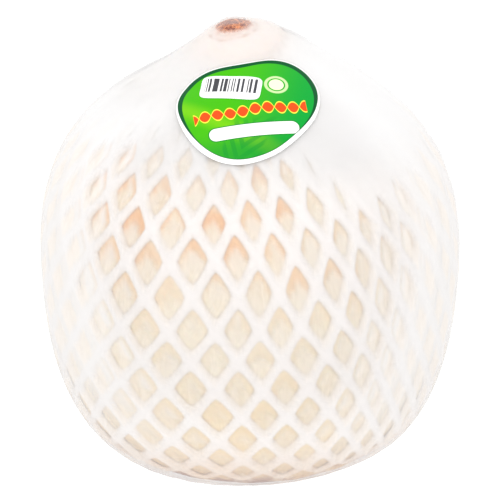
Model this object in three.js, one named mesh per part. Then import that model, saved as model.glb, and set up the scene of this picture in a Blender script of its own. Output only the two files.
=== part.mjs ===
// A peeled young coconut as it is sold: the pared husk stands on its cut base inside a stretched
// foam net, under a tight clear film, with a die-cut label and a small code sticker on the film.
// Millimetres, +Z up, resting on z = 0. The front, where the label is, faces -Y.
import * as THREE from "three";

// Driving dimensions, in millimetres.
const WRAPPED_WIDTH = 129.6; // across the film at the widest level
const WRAPPED_HEIGHT = 137.6; // from the surface to the top of the film
const WIDEST_HEIGHT = 64; // height of the widest level above the surface
const BASE_RADIUS = 26; // the flat cut that the coconut stands on
const NUB_RADIUS = 14.4; // foot of the blunt nub at the stalk end
const NUB_DROP = 6.7; // how far that foot lies below the tip
const NUB_LEAN = 1.6; // how far the tip stands off the axis, towards -X
const FOAM_THICKNESS = 2;
const NET_SEAT = 0.85; // crossings stand off the husk, so that the straight strands clear its curve
const FILM_THICKNESS = 0.4;
const LABEL_THICKNESS = 0.3;
const GAP = 0.35; // left free between pieces that touch
const FILM_MOUTH_RADIUS = 12; // the gathered film leaves this open under the base

// The foam net: rhombic cells on a lattice of half rows, counted down from the tip end.
const CELLS_AROUND = 28;
const FIRST_ROW = -5;
const FIRST_OPEN_ROW = -4; // above it the gathered strands close up
const LAST_ROW = 7;
const STRAND_WIDTH = 4.2;
const SMALLEST_HOLE = 0.2; // share of a cell left open where its strands crowd
const MIDDLE_ROW_PLACE = 79.5; // distance of row 0 from the net's own pole, along the husk
const ROW_SPACING = 10;
const TIP_BUNCHING = 0.13; // rows crowd towards the tip with the square of their number
const HEM_BUNCHING = 0.03; // and towards both hems with its cube
const NET_TILT = THREE.MathUtils.degToRad(10.7); // the net's pole leans to the left
const UPPER_MARGIN = 3; // the film is at full height this far past the net's upper hem
const LOWER_MARGIN = 5; // and this far past the lower one
const HEM_SLOPE = 4.5; // length over which it comes down from there to the husk

// The label and the sticker, flat as they were cut.
const LABEL_WIDTH = 39.6;
const LABEL_HEIGHT = 35.3;
const LABEL_DROP = 36.5; // distance of the label's middle from the tip, along the cone
const LABEL_TURN = THREE.MathUtils.degToRad(8.5);
const LABEL_CORNER = 2.3; // superellipse power of the outline
const STICKER_WIDTH = 16.5;
const STICKER_HEIGHT = 8.7;
const STICKER_SHIFT = new THREE.Vector2(-4.2, 8.2); // from the label's middle
const STICKER_TURN = THREE.MathUtils.degToRad(-8.5);
const STICKER_CORNER = 5;
const SHEET_BRIDGE = 4; // both are stiff enough to span the film's slope at the hem

// Mesh fineness.
const AROUND = 46;
const HUSK_STEPS = 28;
const FILM_STEPS = 36;
const STATION_STEPS = 400;
const TIP_FINENESS = 1.35; // above 1, profile steps are finer towards the tip
const SHEET_AROUND = 40;
const LABEL_RINGS = 5;
const STICKER_RINGS = 3;

const COVERED_LIFT = NET_SEAT + FOAM_THICKNESS; // what the net adds under the film
const HUSK_RADIUS = WRAPPED_WIDTH / 2 - COVERED_LIFT - GAP - FILM_THICKNESS;
const HUSK_FLOOR = GAP + FILM_THICKNESS;
const HUSK_TOP = WRAPPED_HEIGHT - GAP - FILM_THICKNESS;
const CENTRE = new THREE.Vector3(0, 0, WIDEST_HEIGHT);

const material = (color, roughness, metalness = 0) =>
  new THREE.MeshStandardMaterial({ color, roughness, metalness });

// Half of the husk's section, from the tip on the axis to the middle of the cut base: a rounded
// nub, a straight cone, a full belly and a boxy turn into the flat base.
function huskOutline() {
  const nubFoot = HUSK_TOP - NUB_DROP;
  const path = new THREE.Path();
  path.moveTo(0, HUSK_TOP);
  path.bezierCurveTo(9, HUSK_TOP, 9.8, nubFoot + 3.9, NUB_RADIUS, nubFoot);
  path.bezierCurveTo(
    NUB_RADIUS + 20.6, nubFoot - 16.3,
    HUSK_RADIUS, WIDEST_HEIGHT + 42.5,
    HUSK_RADIUS, WIDEST_HEIGHT,
  );
  path.bezierCurveTo(
    HUSK_RADIUS, WIDEST_HEIGHT - 39.5,
    BASE_RADIUS + 26.5, HUSK_FLOOR,
    BASE_RADIUS, HUSK_FLOOR,
  );
  path.lineTo(0, HUSK_FLOOR);
  return path;
}

// The outline as stations: place, outward normal, distance from the tip and angle from the axis,
// the last two for finding a station again.
function outlineStations(steps) {
  const points = huskOutline().getSpacedPoints(steps);
  const acrossAxis = (point) => new THREE.Vector2(-point.x, point.y);
  let distance = 0;
  return points.map((point, i) => {
    const before = points[i - 1] ?? acrossAxis(points[1]);
    const after = points[i + 1] ?? acrossAxis(points[steps - 1]);
    const along = after.clone().sub(before).normalize();
    if (i > 0) distance += point.distanceTo(before);
    return {
      point,
      normal: new THREE.Vector2(-along.y, along.x),
      distance,
      angle: Math.atan2(point.x, point.y - WIDEST_HEIGHT),
    };
  });
}

const stations = outlineStations(STATION_STEPS);
const OUTLINE_LENGTH = stations[STATION_STEPS].distance;

// The station where `key` ("distance" or "angle") has the given value.
function stationAt(key, value) {
  const found = stations.findIndex((station) => station[key] >= value);
  const i = found < 1 ? (found < 0 ? stations.length - 1 : 1) : found;
  const [a, b] = [stations[i - 1], stations[i]];
  const share = THREE.MathUtils.clamp((value - a[key]) / (b[key] - a[key]), 0, 1);
  return {
    point: a.point.clone().lerp(b.point, share),
    normal: a.normal.clone().lerp(b.normal, share).normalize(),
    angle: THREE.MathUtils.lerp(a.angle, b.angle, share),
  };
}

// A point at a station, lifted off the husk, turned to an azimuth (0 is the front, +X side
// positive) and moved over with the leaning tip.
function placed(station, azimuth, lift) {
  const radius = Math.max(station.point.x + station.normal.x * lift, 0);
  const height = station.point.y + station.normal.y * lift;
  const rise = Math.max((height - WIDEST_HEIGHT) / (WRAPPED_HEIGHT - WIDEST_HEIGHT), 0);
  return new THREE.Vector3(
    radius * Math.sin(azimuth) - NUB_LEAN * rise ** 2,
    -radius * Math.cos(azimuth),
    height,
  );
}

// The net sits askew: this turn takes its own pole to the left.
const netTurn = new THREE.Quaternion().setFromAxisAngle(new THREE.Vector3(0, 1, 0), -NET_TILT);
const netTurnBack = netTurn.clone().invert();

// Distance of a half row from the net's pole.
const rowPlace = (row) =>
  MIDDLE_ROW_PLACE + ROW_SPACING * row + TIP_BUNCHING * row ** 2 - HEM_BUNCHING * row ** 3;

// A net point: given on the upright net by half row and azimuth, then turned with the net.
function netPoint(row, azimuth, lift) {
  const angle = stationAt("distance", rowPlace(row)).angle;
  const direction = new THREE.Vector3(
    Math.sin(angle) * Math.sin(azimuth),
    -Math.sin(angle) * Math.cos(azimuth),
    Math.cos(angle),
  ).applyQuaternion(netTurn);
  const station = stationAt("angle", Math.acos(direction.z));
  return placed(station, Math.atan2(direction.x, -direction.y), lift);
}

// How fully the net lifts what lies over a point of the husk, from 0 past its hems to 1 between
// them. `bridge` is how much further than the film a stiffer sheet keeps that height.
function netCover(point, bridge = 0) {
  const direction = point.clone().sub(CENTRE).normalize();
  direction.applyQuaternion(netTurnBack);
  const angle = Math.acos(THREE.MathUtils.clamp(direction.z, -1, 1));
  const slope = HEM_SLOPE / HUSK_RADIUS;
  const upperPlace = rowPlace(FIRST_ROW - 1) - UPPER_MARGIN - bridge;
  const upper = stationAt("distance", upperPlace).angle;
  const lower = stationAt("distance", rowPlace(LAST_ROW + 1) + LOWER_MARGIN).angle;
  return (
    THREE.MathUtils.smoothstep(angle, upper - slope, upper) *
    (1 - THREE.MathUtils.smoothstep(angle, lower, lower + slope))
  );
}

// A body of revolution about the axis, from stations of the husk at given lifts, with every
// vertex placed by `place`.
function revolved(entries, place) {
  const profile = entries.map(
    ({ station, lift }) =>
      new THREE.Vector2(
        Math.max(station.point.x + station.normal.x * lift, 0),
        station.point.y + station.normal.y * lift,
      ),
  );
  const geometry = new THREE.LatheGeometry(profile, AROUND);
  const position = geometry.getAttribute("position");
  const uv = geometry.getAttribute("uv");
  for (let i = 0; i < position.count; i++) {
    const { station, lift } = entries[Math.round(uv.getY(i) * (entries.length - 1))];
    const point = place(station, uv.getX(i) * 2 * Math.PI, lift);
    position.setXYZ(i, point.x, point.y, point.z);
  }
  return geometry;
}

// Stations from the tip to a distance from it, closer together at the tightly curved tip.
function stationsTo(distance, steps) {
  const found = [];
  for (let i = 0; i <= steps; i++) {
    found.push(stationAt("distance", distance * (i / steps) ** TIP_FINENESS));
  }
  return found;
}

function coconut() {
  const entries = stationsTo(OUTLINE_LENGTH, HUSK_STEPS)
    .map((station) => ({ station, lift: 0 }))
    .reverse();
  return new THREE.Mesh(revolved(entries, placed), material(0xf6ead6, 0.75));
}

// One skin that hugs the bare husk, climbs onto the net at both hems and turns flat under the
// base, where it is gathered round a small mouth.
function filmWrap() {
  const filmPoint = (station, azimuth, lift) => {
    const cover = netCover(placed(station, azimuth, lift));
    return placed(station, azimuth, lift + COVERED_LIFT * cover);
  };
  const skin = stationsTo(OUTLINE_LENGTH - FILM_MOUTH_RADIUS, FILM_STEPS);
  const inside = skin.map((station) => ({ station, lift: GAP }));
  const outside = skin.map((station) => ({ station, lift: GAP + FILM_THICKNESS })).reverse();
  return new THREE.Mesh(
    revolved([...inside, ...outside], filmPoint),
    material(0xffffff, 0.15),
  );
}

// One open foam skin: every rhombic cell is a ring of strand round a hole, and neighbouring
// cells share the crossings at their corners.
function foamNet() {
  const vertices = [];
  const known = new Map();
  const triangles = [];
  const step = Math.PI / CELLS_AROUND;

  // Crossings are shared between cells, so each is made once, as an inner and an outer vertex.
  function crossing(row, column) {
    const turn = ((column % (2 * CELLS_AROUND)) + 2 * CELLS_AROUND) % (2 * CELLS_AROUND);
    const key = `${row},${turn}`;
    if (!known.has(key)) {
      known.set(key, vertices.length);
      vertices.push(netPoint(row, turn * step, NET_SEAT));
      vertices.push(netPoint(row, turn * step, COVERED_LIFT));
    }
    return known.get(key);
  }

  // The hole's corner lies on the line from the cell's middle to the crossing.
  function holeCorner(corner, middle, share) {
    const first = vertices.length;
    vertices.push(vertices[corner].clone().sub(middle[0]).multiplyScalar(share).add(middle[0]));
    vertices.push(
      vertices[corner + 1].clone().sub(middle[1]).multiplyScalar(share).add(middle[1]),
    );
    return first;
  }

  const quad = (a, b, c, d) => triangles.push(a, b, c, a, c, d);

  function openCell(corners, row, column) {
    const middle = [
      netPoint(row, column * step, NET_SEAT),
      netPoint(row, column * step, COVERED_LIFT),
    ];
    const halfHeight = vertices[corners[0]].distanceTo(vertices[corners[2]]) / 2;
    const halfWidth = vertices[corners[1]].distanceTo(vertices[corners[3]]) / 2;
    const reach = (halfHeight * halfWidth) / Math.hypot(halfHeight, halfWidth);
    const share = Math.max(1 - STRAND_WIDTH / 2 / reach, SMALLEST_HOLE);
    const holes = corners.map((corner) => holeCorner(corner, middle, share));
    corners.forEach((corner, i) => {
      const next = (i + 1) % 4;
      quad(corner + 1, corners[next] + 1, holes[next] + 1, holes[i] + 1);
      quad(holes[i], holes[next], corners[next], corner);
      quad(holes[i] + 1, holes[next] + 1, holes[next], holes[i]);
    });
  }

  function cell(row, column) {
    const corners = [
      crossing(row - 1, column),
      crossing(row, column - 1),
      crossing(row + 1, column),
      crossing(row, column + 1),
    ];
    const [top, left, bottom, right] = corners;
    if (row < FIRST_OPEN_ROW) {
      quad(top + 1, left + 1, bottom + 1, right + 1);
      quad(right, bottom, left, top);
    } else {
      openCell(corners, row, column);
    }
    if (row === FIRST_ROW) {
      quad(left + 1, top + 1, top, left);
      quad(top + 1, right + 1, right, top);
    }
    if (row === LAST_ROW) {
      quad(bottom + 1, left + 1, left, bottom);
      quad(right + 1, bottom + 1, bottom, right);
    }
  }

  for (let row = FIRST_ROW; row <= LAST_ROW; row++) {
    for (let i = 0; i < CELLS_AROUND; i++) cell(row, 2 * i + Math.abs(row % 2));
  }
  const geometry = new THREE.BufferGeometry().setFromPoints(vertices).setIndex(triangles);
  return new THREE.Mesh(geometry, material(0xfcf8f6, 0.6));
}

// A thin sheet stuck on the film: a flat superellipse disc, turned and shifted on the paper, then
// wrapped onto the cone, where distances from the tip and along the paper stay as cut.
function stuckSheet({ width, height, corner, turn, shift, rings, lift }) {
  const profile = [];
  for (let i = 0; i <= rings; i++) profile.push(new THREE.Vector2(i / rings, 1));
  for (let i = rings; i >= 0; i--) profile.push(new THREE.Vector2(i / rings, 0));
  const geometry = new THREE.LatheGeometry(profile, SHEET_AROUND);
  const position = geometry.getAttribute("position");
  const slope = stationAt("distance", LABEL_DROP).normal;
  const middle = new THREE.Vector2(0, -LABEL_DROP);
  for (let i = 0; i < position.count; i++) {
    const [x, level, z] = [position.getX(i), position.getY(i), position.getZ(i)];
    const round = Math.atan2(z, x);
    const stretch =
      (Math.abs(Math.cos(round)) ** corner + Math.abs(Math.sin(round)) ** corner) ** (-1 / corner);
    const onPaper = new THREE.Vector2(x * stretch * width, z * stretch * height)
      .multiplyScalar(0.5)
      .rotateAround(new THREE.Vector2(), turn)
      .add(shift)
      .add(middle);
    const azimuth = Math.atan2(onPaper.x, -onPaper.y) / slope.y;
    const station = stationAt("distance", onPaper.length());
    const bare = placed(station, azimuth, 0);
    const point = placed(
      station,
      azimuth,
      lift + COVERED_LIFT * netCover(bare, SHEET_BRIDGE) + level * LABEL_THICKNESS,
    );
    position.setXYZ(i, point.x, point.y, point.z);
  }
  return geometry;
}

function label() {
  const geometry = stuckSheet({
    width: LABEL_WIDTH,
    height: LABEL_HEIGHT,
    corner: LABEL_CORNER,
    turn: LABEL_TURN,
    shift: new THREE.Vector2(),
    rings: LABEL_RINGS,
    lift: 2 * GAP + FILM_THICKNESS,
  });
  return new THREE.Mesh(geometry, material(0x3fb618, 0.25));
}

function codeSticker() {
  const geometry = stuckSheet({
    width: STICKER_WIDTH,
    height: STICKER_HEIGHT,
    corner: STICKER_CORNER,
    turn: STICKER_TURN,
    shift: STICKER_SHIFT,
    rings: STICKER_RINGS,
    lift: 3 * GAP + FILM_THICKNESS + LABEL_THICKNESS,
  });
  return new THREE.Mesh(geometry, material(0xfafafa, 0.3));
}

const wrappedCoconut = new THREE.Group();
const pieces = {
  coconut: coconut(),
  foam_net: foamNet(),
  film_wrap: filmWrap(),
  label: label(),
  code_sticker: codeSticker(),
};
for (const [name, mesh] of Object.entries(pieces)) {
  mesh.name = name;
  wrappedCoconut.add(mesh);
}

export default wrappedCoconut;
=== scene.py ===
"""A peeled young coconut in its shop packing: foam net, clear film, label and code sticker.

The pieces are built in the order in which they are put on. Sizes are in millimetres, and each
mesh is turned to metres as it is made. +Z is up, and the label's side faces -Y.
"""

import math

import bpy
import numpy as np
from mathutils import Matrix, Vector, noise


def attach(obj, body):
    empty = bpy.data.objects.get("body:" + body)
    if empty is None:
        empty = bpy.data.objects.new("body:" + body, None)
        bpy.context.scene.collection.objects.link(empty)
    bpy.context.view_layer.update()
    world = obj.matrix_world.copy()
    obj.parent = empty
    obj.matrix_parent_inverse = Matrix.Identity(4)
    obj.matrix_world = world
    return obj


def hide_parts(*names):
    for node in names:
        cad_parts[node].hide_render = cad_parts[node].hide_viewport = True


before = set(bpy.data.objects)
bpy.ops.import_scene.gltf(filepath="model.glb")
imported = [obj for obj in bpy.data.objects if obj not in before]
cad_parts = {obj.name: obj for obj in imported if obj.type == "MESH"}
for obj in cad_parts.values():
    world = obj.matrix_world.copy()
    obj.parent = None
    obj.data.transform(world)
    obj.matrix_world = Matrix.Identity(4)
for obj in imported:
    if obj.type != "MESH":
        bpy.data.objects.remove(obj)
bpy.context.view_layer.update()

# ------------------------------------------------------------------------------------------------
# The coconut: a young nut with its green skin pared off by knife, so the husk is pale, softly
# faceted from tip to base and fibrous. The stalk's scar stands as a brown knob on the blunt nub,
# and the base is a flat cut across the fibres.

MM = 0.001
WIDEST_HEIGHT = 64.0
HUSK_RADIUS = 62.25  # at the widest height
HUSK_TOP = 135.45
HUSK_FLOOR = 0.75  # the cut base stands on this much folded film
BASE_RADIUS = 26.0
BASE_SWELL = 26.5  # how far the base's plane runs on into the belly's curve
BELLY_SWELL = 39.5  # and how far the upright at the widest height runs on below it
CONE_SWELL = 42.5  # and above it
CONE_SLOPE = (20.6, -16.3)
NUB_RADIUS = 14.4
NUB_FOOT = 130.15  # height at which the cone turns up into the nub
NUB_FLARE = (9.8, 3.9)
NUB_CROWN = 9.0  # the nub's top is nearly flat this far out
NUB_LEAN = 1.6  # the tip stands this far off the axis, towards -X
LEAN_TOP = 136.2  # height at which it does
OUTLINE_STEP = 0.25
HUSK_AROUND = 224
HUSK_RINGS = 190
HUSK_CROWDING = 1.15  # above 1, rings are closer towards the tip
KNIFE_STROKES = 15
STROKE_DEPTH = 0.28
PARED_FROM = 14.0  # distances from the tip between which the knife's strokes show
PARED_TO = 183.0
SCAR = (-4.8, -2.0)
SCAR_RADIUS = 4.8
SCAR_HEIGHT = 1.6
TOP_REACH = 30.0  # the scar is within this distance of the tip


def bezier(a, b, c, d, steps=400):
    t = np.linspace(0, 1, steps)[:, None]
    a, b, c, d = (np.array(point, float) for point in (a, b, c, d))
    return (1 - t) ** 3 * a + 3 * (1 - t) ** 2 * t * b + 3 * (1 - t) * t**2 * c + t**3 * d


def husk_outline():
    """Half the husk's section from tip to base at equal steps: distances, points and normals."""
    nub = bezier(
        (0, HUSK_TOP),
        (NUB_CROWN, HUSK_TOP),
        (NUB_FLARE[0], NUB_FOOT + NUB_FLARE[1]),
        (NUB_RADIUS, NUB_FOOT),
    )
    cone = bezier(
        (NUB_RADIUS, NUB_FOOT),
        (NUB_RADIUS + CONE_SLOPE[0], NUB_FOOT + CONE_SLOPE[1]),
        (HUSK_RADIUS, WIDEST_HEIGHT + CONE_SWELL),
        (HUSK_RADIUS, WIDEST_HEIGHT),
    )
    belly = bezier(
        (HUSK_RADIUS, WIDEST_HEIGHT),
        (HUSK_RADIUS, WIDEST_HEIGHT - BELLY_SWELL),
        (BASE_RADIUS + BASE_SWELL, HUSK_FLOOR),
        (BASE_RADIUS, HUSK_FLOOR),
    )
    base = np.linspace((BASE_RADIUS, HUSK_FLOOR), (0, HUSK_FLOOR), 60)
    drawn = np.vstack([nub, cone[1:], belly[1:], base[1:]])
    along = np.append(0, np.cumsum(np.linalg.norm(np.diff(drawn, axis=0), axis=1)))
    distance = np.linspace(0, along[-1], int(along[-1] / OUTLINE_STEP))
    points = np.stack([np.interp(distance, along, drawn[:, i]) for i in (0, 1)], 1)
    tangent = np.gradient(points, axis=0)
    tangent /= np.linalg.norm(tangent, axis=1)[:, None]
    normal = np.stack([-tangent[:, 1], tangent[:, 0]], 1)
    normal[0] = (0, 1)
    return distance, points, normal


OUTLINE_DISTANCE, OUTLINE, OUTLINE_NORMAL = husk_outline()
OUTLINE_LENGTH = OUTLINE_DISTANCE[-1]


def leant(x, y, z):
    """Moves the top over with the leaning nub, and gives metres."""
    rise = np.clip((z - WIDEST_HEIGHT) / (LEAN_TOP - WIDEST_HEIGHT), 0, None)
    return np.stack([x - NUB_LEAN * rise**2, y, z], -1) * MM


def on_husk(distance, azimuth, lift):
    """A place on the husk by its distance from the tip and its azimuth, lifted off the husk."""
    radius, height, across, up = (
        np.interp(distance, OUTLINE_DISTANCE, column)
        for column in (*OUTLINE.T, *OUTLINE_NORMAL.T)
    )
    radius = np.maximum(radius + across * lift, 0)
    return leant(radius * np.sin(azimuth), -radius * np.cos(azimuth), height + up * lift)


def mesh_object(name, vertices, faces):
    mesh = bpy.data.meshes.new(name)
    mesh.from_pydata(np.asarray(vertices).tolist(), [], faces)
    mesh.validate()
    mesh.shade_smooth()
    made = bpy.data.objects.new(name, mesh)
    bpy.context.scene.collection.objects.link(made)
    return made


def ring_faces(rings, around):
    """Faces over rings of `around` vertices, from the top down, with a fan at each end."""
    step = np.arange(around)
    after = (step + 1) % around
    faces = []
    for ring in range(rings - 1):
        upper, lower = ring * around, (ring + 1) * around
        quads = np.stack([upper + step, lower + step, lower + after, upper + after], 1)
        faces.extend(quads.tolist())
    top, bottom = rings * around, rings * around + 1
    last = (rings - 1) * around
    faces.extend([top, int(a), int(b)] for a, b in zip(step, after))
    faces.extend([bottom, int(last + b), int(last + a)] for a, b in zip(step, after))
    return faces


def rough(points, size, seed=0.0):
    """Smooth noise from -1 to 1 at points in millimetres, with features of about that size."""
    shift = Vector((seed, 2.3 * seed, -1.7 * seed))
    flat = np.asarray(points).reshape(-1, 3) / size
    values = [noise.noise(Vector(p) + shift) for p in flat]
    return np.array(values).reshape(np.shape(points)[:-1])


def husk_lift(distance, azimuth, bare):
    """How far the pared and scarred surface stands off the plain outline."""
    # Each stroke leaves a shallow facet, and wanders a little on its way down.
    waver = 0.35 * np.sin(distance / 19.0) + 0.25 * np.sin(azimuth * 3 + distance / 31.0)
    stroke = (azimuth / (2 * np.pi) * KNIFE_STROKES + waver) % 1 * 2 - 1
    pared = np.clip((distance - PARED_FROM) / 20, 0, 1) * np.clip((PARED_TO - distance) / 8, 0, 1)
    lift = -STROKE_DEPTH * (1 - stroke**2) * pared
    lift += 0.12 * rough(bare, 7.0, 4.0) * np.clip(distance / 10, 0, 1)
    # The stalk's scar is a ragged knob with a shallow groove round it.
    from_scar = np.hypot(bare[..., 0] - SCAR[0], bare[..., 1] - SCAR[1])
    from_scar += 0.5 * rough(bare, 2.6, 9.0)
    on_top = distance < TOP_REACH
    knob = np.clip(1.3 - from_scar / SCAR_RADIUS, 0, 1) ** 0.7 * on_top
    rim = np.exp(-(((from_scar - SCAR_RADIUS * 1.4) / 0.7) ** 2)) * on_top
    lift += knob * (SCAR_HEIGHT + 0.25 * rough(bare, 1.1, 2.0)) - 0.3 * rim
    return lift


distance = OUTLINE_LENGTH * (np.linspace(0, 1, HUSK_RINGS + 2)[1:-1, None]) ** HUSK_CROWDING
azimuth = np.linspace(0, 2 * np.pi, HUSK_AROUND, endpoint=False)[None, :]
distance, azimuth = np.broadcast_arrays(distance, azimuth)
bare = on_husk(distance, azimuth, 0) / MM
rings = on_husk(distance, azimuth, husk_lift(distance, azimuth, bare))
poles = [leant(0.0, 0.0, HUSK_TOP), leant(0.0, 0.0, HUSK_FLOOR)]
coconut = mesh_object(
    "peeled_coconut",
    np.vstack([rings.reshape(-1, 3), poles]),
    ring_faces(HUSK_RINGS, HUSK_AROUND),
)


class Amount:
    """A number that varies over a piece, worked out by math nodes in a tree."""

    def __init__(self, tree, socket):
        self.tree = tree
        self.socket = socket

    def math(self, operation, *terms):
        node = self.tree.nodes.new("ShaderNodeMath")
        node.operation = operation
        for place, term in enumerate((self, *terms)):
            give(self.tree, term, node.inputs[place])
        return Amount(self.tree, node.outputs[0])

    def __add__(self, other):
        return self.math("ADD", other)

    def __sub__(self, other):
        return self.math("SUBTRACT", other)

    def __rsub__(self, other):
        return (self * -1.0) + other

    def __mul__(self, other):
        return self.math("MULTIPLY", other)

    def __truediv__(self, other):
        return self.math("DIVIDE", other)

    def __rtruediv__(self, other):
        return self**-1.0 * other

    def __pow__(self, other):
        return self.math("POWER", other)

    __rmul__ = __mul__

    def abs(self):
        return self.math("ABSOLUTE")

    def sin(self):
        return self.math("SINE")

    def root(self):
        return self.math("SQRT")

    def least(self, other):
        return self.math("MINIMUM", other)

    def most(self, other):
        return self.math("MAXIMUM", other)

    def over(self, other):
        return self.math("GREATER_THAN", other)

    def step(self, start, end, low=0.0, high=1.0):
        """Goes smoothly from `low` at `start` to `high` at `end`."""
        node = self.tree.nodes.new("ShaderNodeMapRange")
        node.interpolation_type = "SMOOTHSTEP"
        for place, term in enumerate((self, start, end, low, high)):
            give(self.tree, term, node.inputs[place])
        return Amount(self.tree, node.outputs[0])


def give(tree, term, socket):
    """Links a varying term into a socket, or sets a constant one on it."""
    if isinstance(term, Amount):
        tree.links.new(term.socket, socket)
    elif isinstance(term, bpy.types.NodeSocket):
        tree.links.new(term, socket)
    else:
        socket.default_value = term


class Finish:
    """A material and its principled shader, with the patterns that feed it."""

    def __init__(self, name):
        self.material = bpy.data.materials.new(name)
        self.material.use_nodes = True
        self.tree = self.material.node_tree
        self.shader = self.tree.nodes["Principled BSDF"]

    def node(self, kind, **inputs):
        made = self.tree.nodes.new(kind)
        for name, term in inputs.items():
            give(self.tree, term, made.inputs[name.replace("_", " ")])
        return made

    def set(self, **inputs):
        for name, term in inputs.items():
            give(self.tree, term, self.shader.inputs[name.replace("_", " ")])

    def place(self, scale=(1.0, 1.0, 1.0)):
        """Object coordinates, in metres, times a scale."""
        coordinates = self.tree.nodes.new("ShaderNodeTexCoord")
        mapping = self.node("ShaderNodeMapping", Scale=scale)
        self.tree.links.new(coordinates.outputs["Object"], mapping.inputs["Vector"])
        return mapping.outputs["Vector"]

    def parts(self, vector):
        split = self.tree.nodes.new("ShaderNodeSeparateXYZ")
        self.tree.links.new(vector, split.inputs[0])
        return [Amount(self.tree, socket) for socket in split.outputs]

    def stored(self, name):
        """A number that the mesh carries at each of its points."""
        made = self.node("ShaderNodeAttribute")
        made.attribute_name = name
        return Amount(self.tree, made.outputs["Fac"])

    def noise(self, vector, size, detail=3.0, roughness=0.5, distortion=0.0):
        """Cloudy noise with features of about `size` millimetres."""
        made = self.node(
            "ShaderNodeTexNoise",
            Vector=vector,
            Scale=1000.0 / size,
            Detail=detail,
            Roughness=roughness,
            Distortion=distortion,
        )
        return Amount(self.tree, made.outputs["Fac"])

    def cells(self, vector, size):
        made = self.node("ShaderNodeTexVoronoi", Vector=vector, Scale=1000.0 / size)
        return Amount(self.tree, made.outputs["Distance"])

    def blend(self, share, first, second):
        """`first` where share is 0 and `second` where it is 1."""
        mix = self.tree.nodes.new("ShaderNodeMix")
        mix.data_type = "RGBA"
        give(self.tree, share, mix.inputs["Factor"])
        for term, socket in ((first, mix.inputs[6]), (second, mix.inputs[7])):
            give(self.tree, (*term, 1.0) if isinstance(term, tuple) else term, socket)
        return mix.outputs[2]

    def relief(self, height, depth, strength=1.0, below=None):
        """A bump `depth` millimetres deep over the shader's own normal."""
        bump = self.node("ShaderNodeBump", Strength=strength, Distance=depth * MM)
        give(self.tree, height, bump.inputs["Height"])
        if below is not None:
            self.tree.links.new(below, bump.inputs["Normal"])
        return bump.outputs["Normal"]

    def on(self, piece):
        piece.data.materials.clear()
        piece.data.materials.append(self.material)


COLLAR_CREAM = (0.970, 0.920, 0.885)
NUB_BLUSH = (0.890, 0.790, 0.735)
BLUSH_FROM = 0.122  # heights in metres between which the cream turns to the nub's blush
BLUSH_TO = 0.131
SCAR_RING = 0.0072  # metres from the scar's middle to the lifted skin round it

husk = Finish("pared_husk")
spot = husk.place()
x, y, z = husk.parts(spot)
clouds = husk.noise(spot, 26.0, detail=2.0)
fibres = husk.noise(husk.place((1.0, 1.0, 0.12)), 1.1, detail=4.0, roughness=0.6)
flecks = husk.noise(spot, 3.2, detail=5.0, roughness=0.65)
patches = husk.noise(spot, 10.0, detail=3.0, roughness=0.6)

# Cream that is yellower low down, and deep orange under the net's collar. In each cell the orange
# is deepest along the upper sides: partly the juice of the freshly pared husk kept under the
# clinging film, partly painted shade under the strand above.
body = husk.blend(clouds.step(0.38, 0.62), (0.985, 0.885, 0.690), (0.980, 0.850, 0.610))
body = husk.blend(z.step(0.058, 0.020, 0.0, 0.90), body, (0.935, 0.700, 0.320))
# Painted shade along each cell's upper sides, mixed with the juice kept under the film.
shaded_and_clung = husk.stored("shaded_and_clung")
body = husk.blend(shaded_and_clung * 0.35, body, (0.950, 0.640, 0.260))
under_collar = z.step(0.060, 0.096) * z.step(0.117, 0.106)
yellowed = (clouds * 0.5 + patches * 0.5).step(0.36, 0.60, 0.15, 1.0)
juice_and_shade = under_collar * yellowed * (shaded_and_clung * 0.82 + 0.18)
body = husk.blend(juice_and_shade, body, (0.940, 0.420, 0.035))
paler_side = x.step(0.020, 0.045, 0.0, 0.45)
body = husk.blend(paler_side, body, (0.985, 0.870, 0.760))
body = husk.blend(fibres.step(0.45, 0.75, 0.0, 0.15), body, (0.880, 0.680, 0.400))
body = husk.blend(z.step(0.106, 0.118), body, COLLAR_CREAM)
body = husk.blend(z.step(BLUSH_FROM, BLUSH_TO), body, NUB_BLUSH)

# Towards the base it browns, with bruises near the cut's rim; the cut shows the fibres' ends.
body = husk.blend(z.step(0.024, 0.006, 0.0, 0.70), body, (0.660, 0.360, 0.160))
bruised = (flecks * 0.3 + patches * 0.7).step(0.45, 0.52) * z.step(0.014, 0.006)
body = husk.blend(bruised, body, (0.300, 0.070, 0.015))
rim_spots = (x + 0.019).abs().step(0.0060, 0.0035) + (x - 0.002).abs().step(0.0065, 0.0045)
rim_spots = rim_spots * z.step(0.0075, 0.0050) * y.step(0.0, -0.010)
body = husk.blend(rim_spots, body, (0.260, 0.050, 0.010))
on_cut = z.step(0.0016, 0.0009)
cut_face = husk.cells(spot, 0.9)
body = husk.blend(on_cut, body, (0.780, 0.590, 0.400))
body = husk.blend(on_cut * cut_face.step(0.55, 0.20, 0.0, 0.8), body, (0.520, 0.330, 0.190))

# The scar is dark and ragged, with a brown edge and a ring of lifted skin round it.
grain = husk.noise(spot, 1.3, detail=4.0, roughness=0.7)
across = (x - SCAR[0] * MM) ** 2.0 + (y - SCAR[1] * MM) ** 2.0
from_scar = across.root() + (grain - 0.5) * 0.0022 + (flecks - 0.5) * 0.0022
near_top = z.step(0.125, 0.129)
body = husk.blend(from_scar.step(SCAR_RING, 0.0054) * near_top, body, (0.820, 0.620, 0.520))
body = husk.blend(from_scar.step(0.0058, 0.0051) * near_top, body, (0.560, 0.200, 0.080))
scar_brown = husk.blend(grain.step(0.42, 0.64), (0.190, 0.026, 0.006), (0.700, 0.250, 0.090))
body = husk.blend(from_scar.step(0.0054, 0.0040) * near_top, body, scar_brown)
lifted_skin = (from_scar - SCAR_RING).abs().step(0.0006, 0.0001) * near_top
body = husk.blend(lifted_skin * flecks.step(0.40, 0.55), body, (0.640, 0.400, 0.290))

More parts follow.
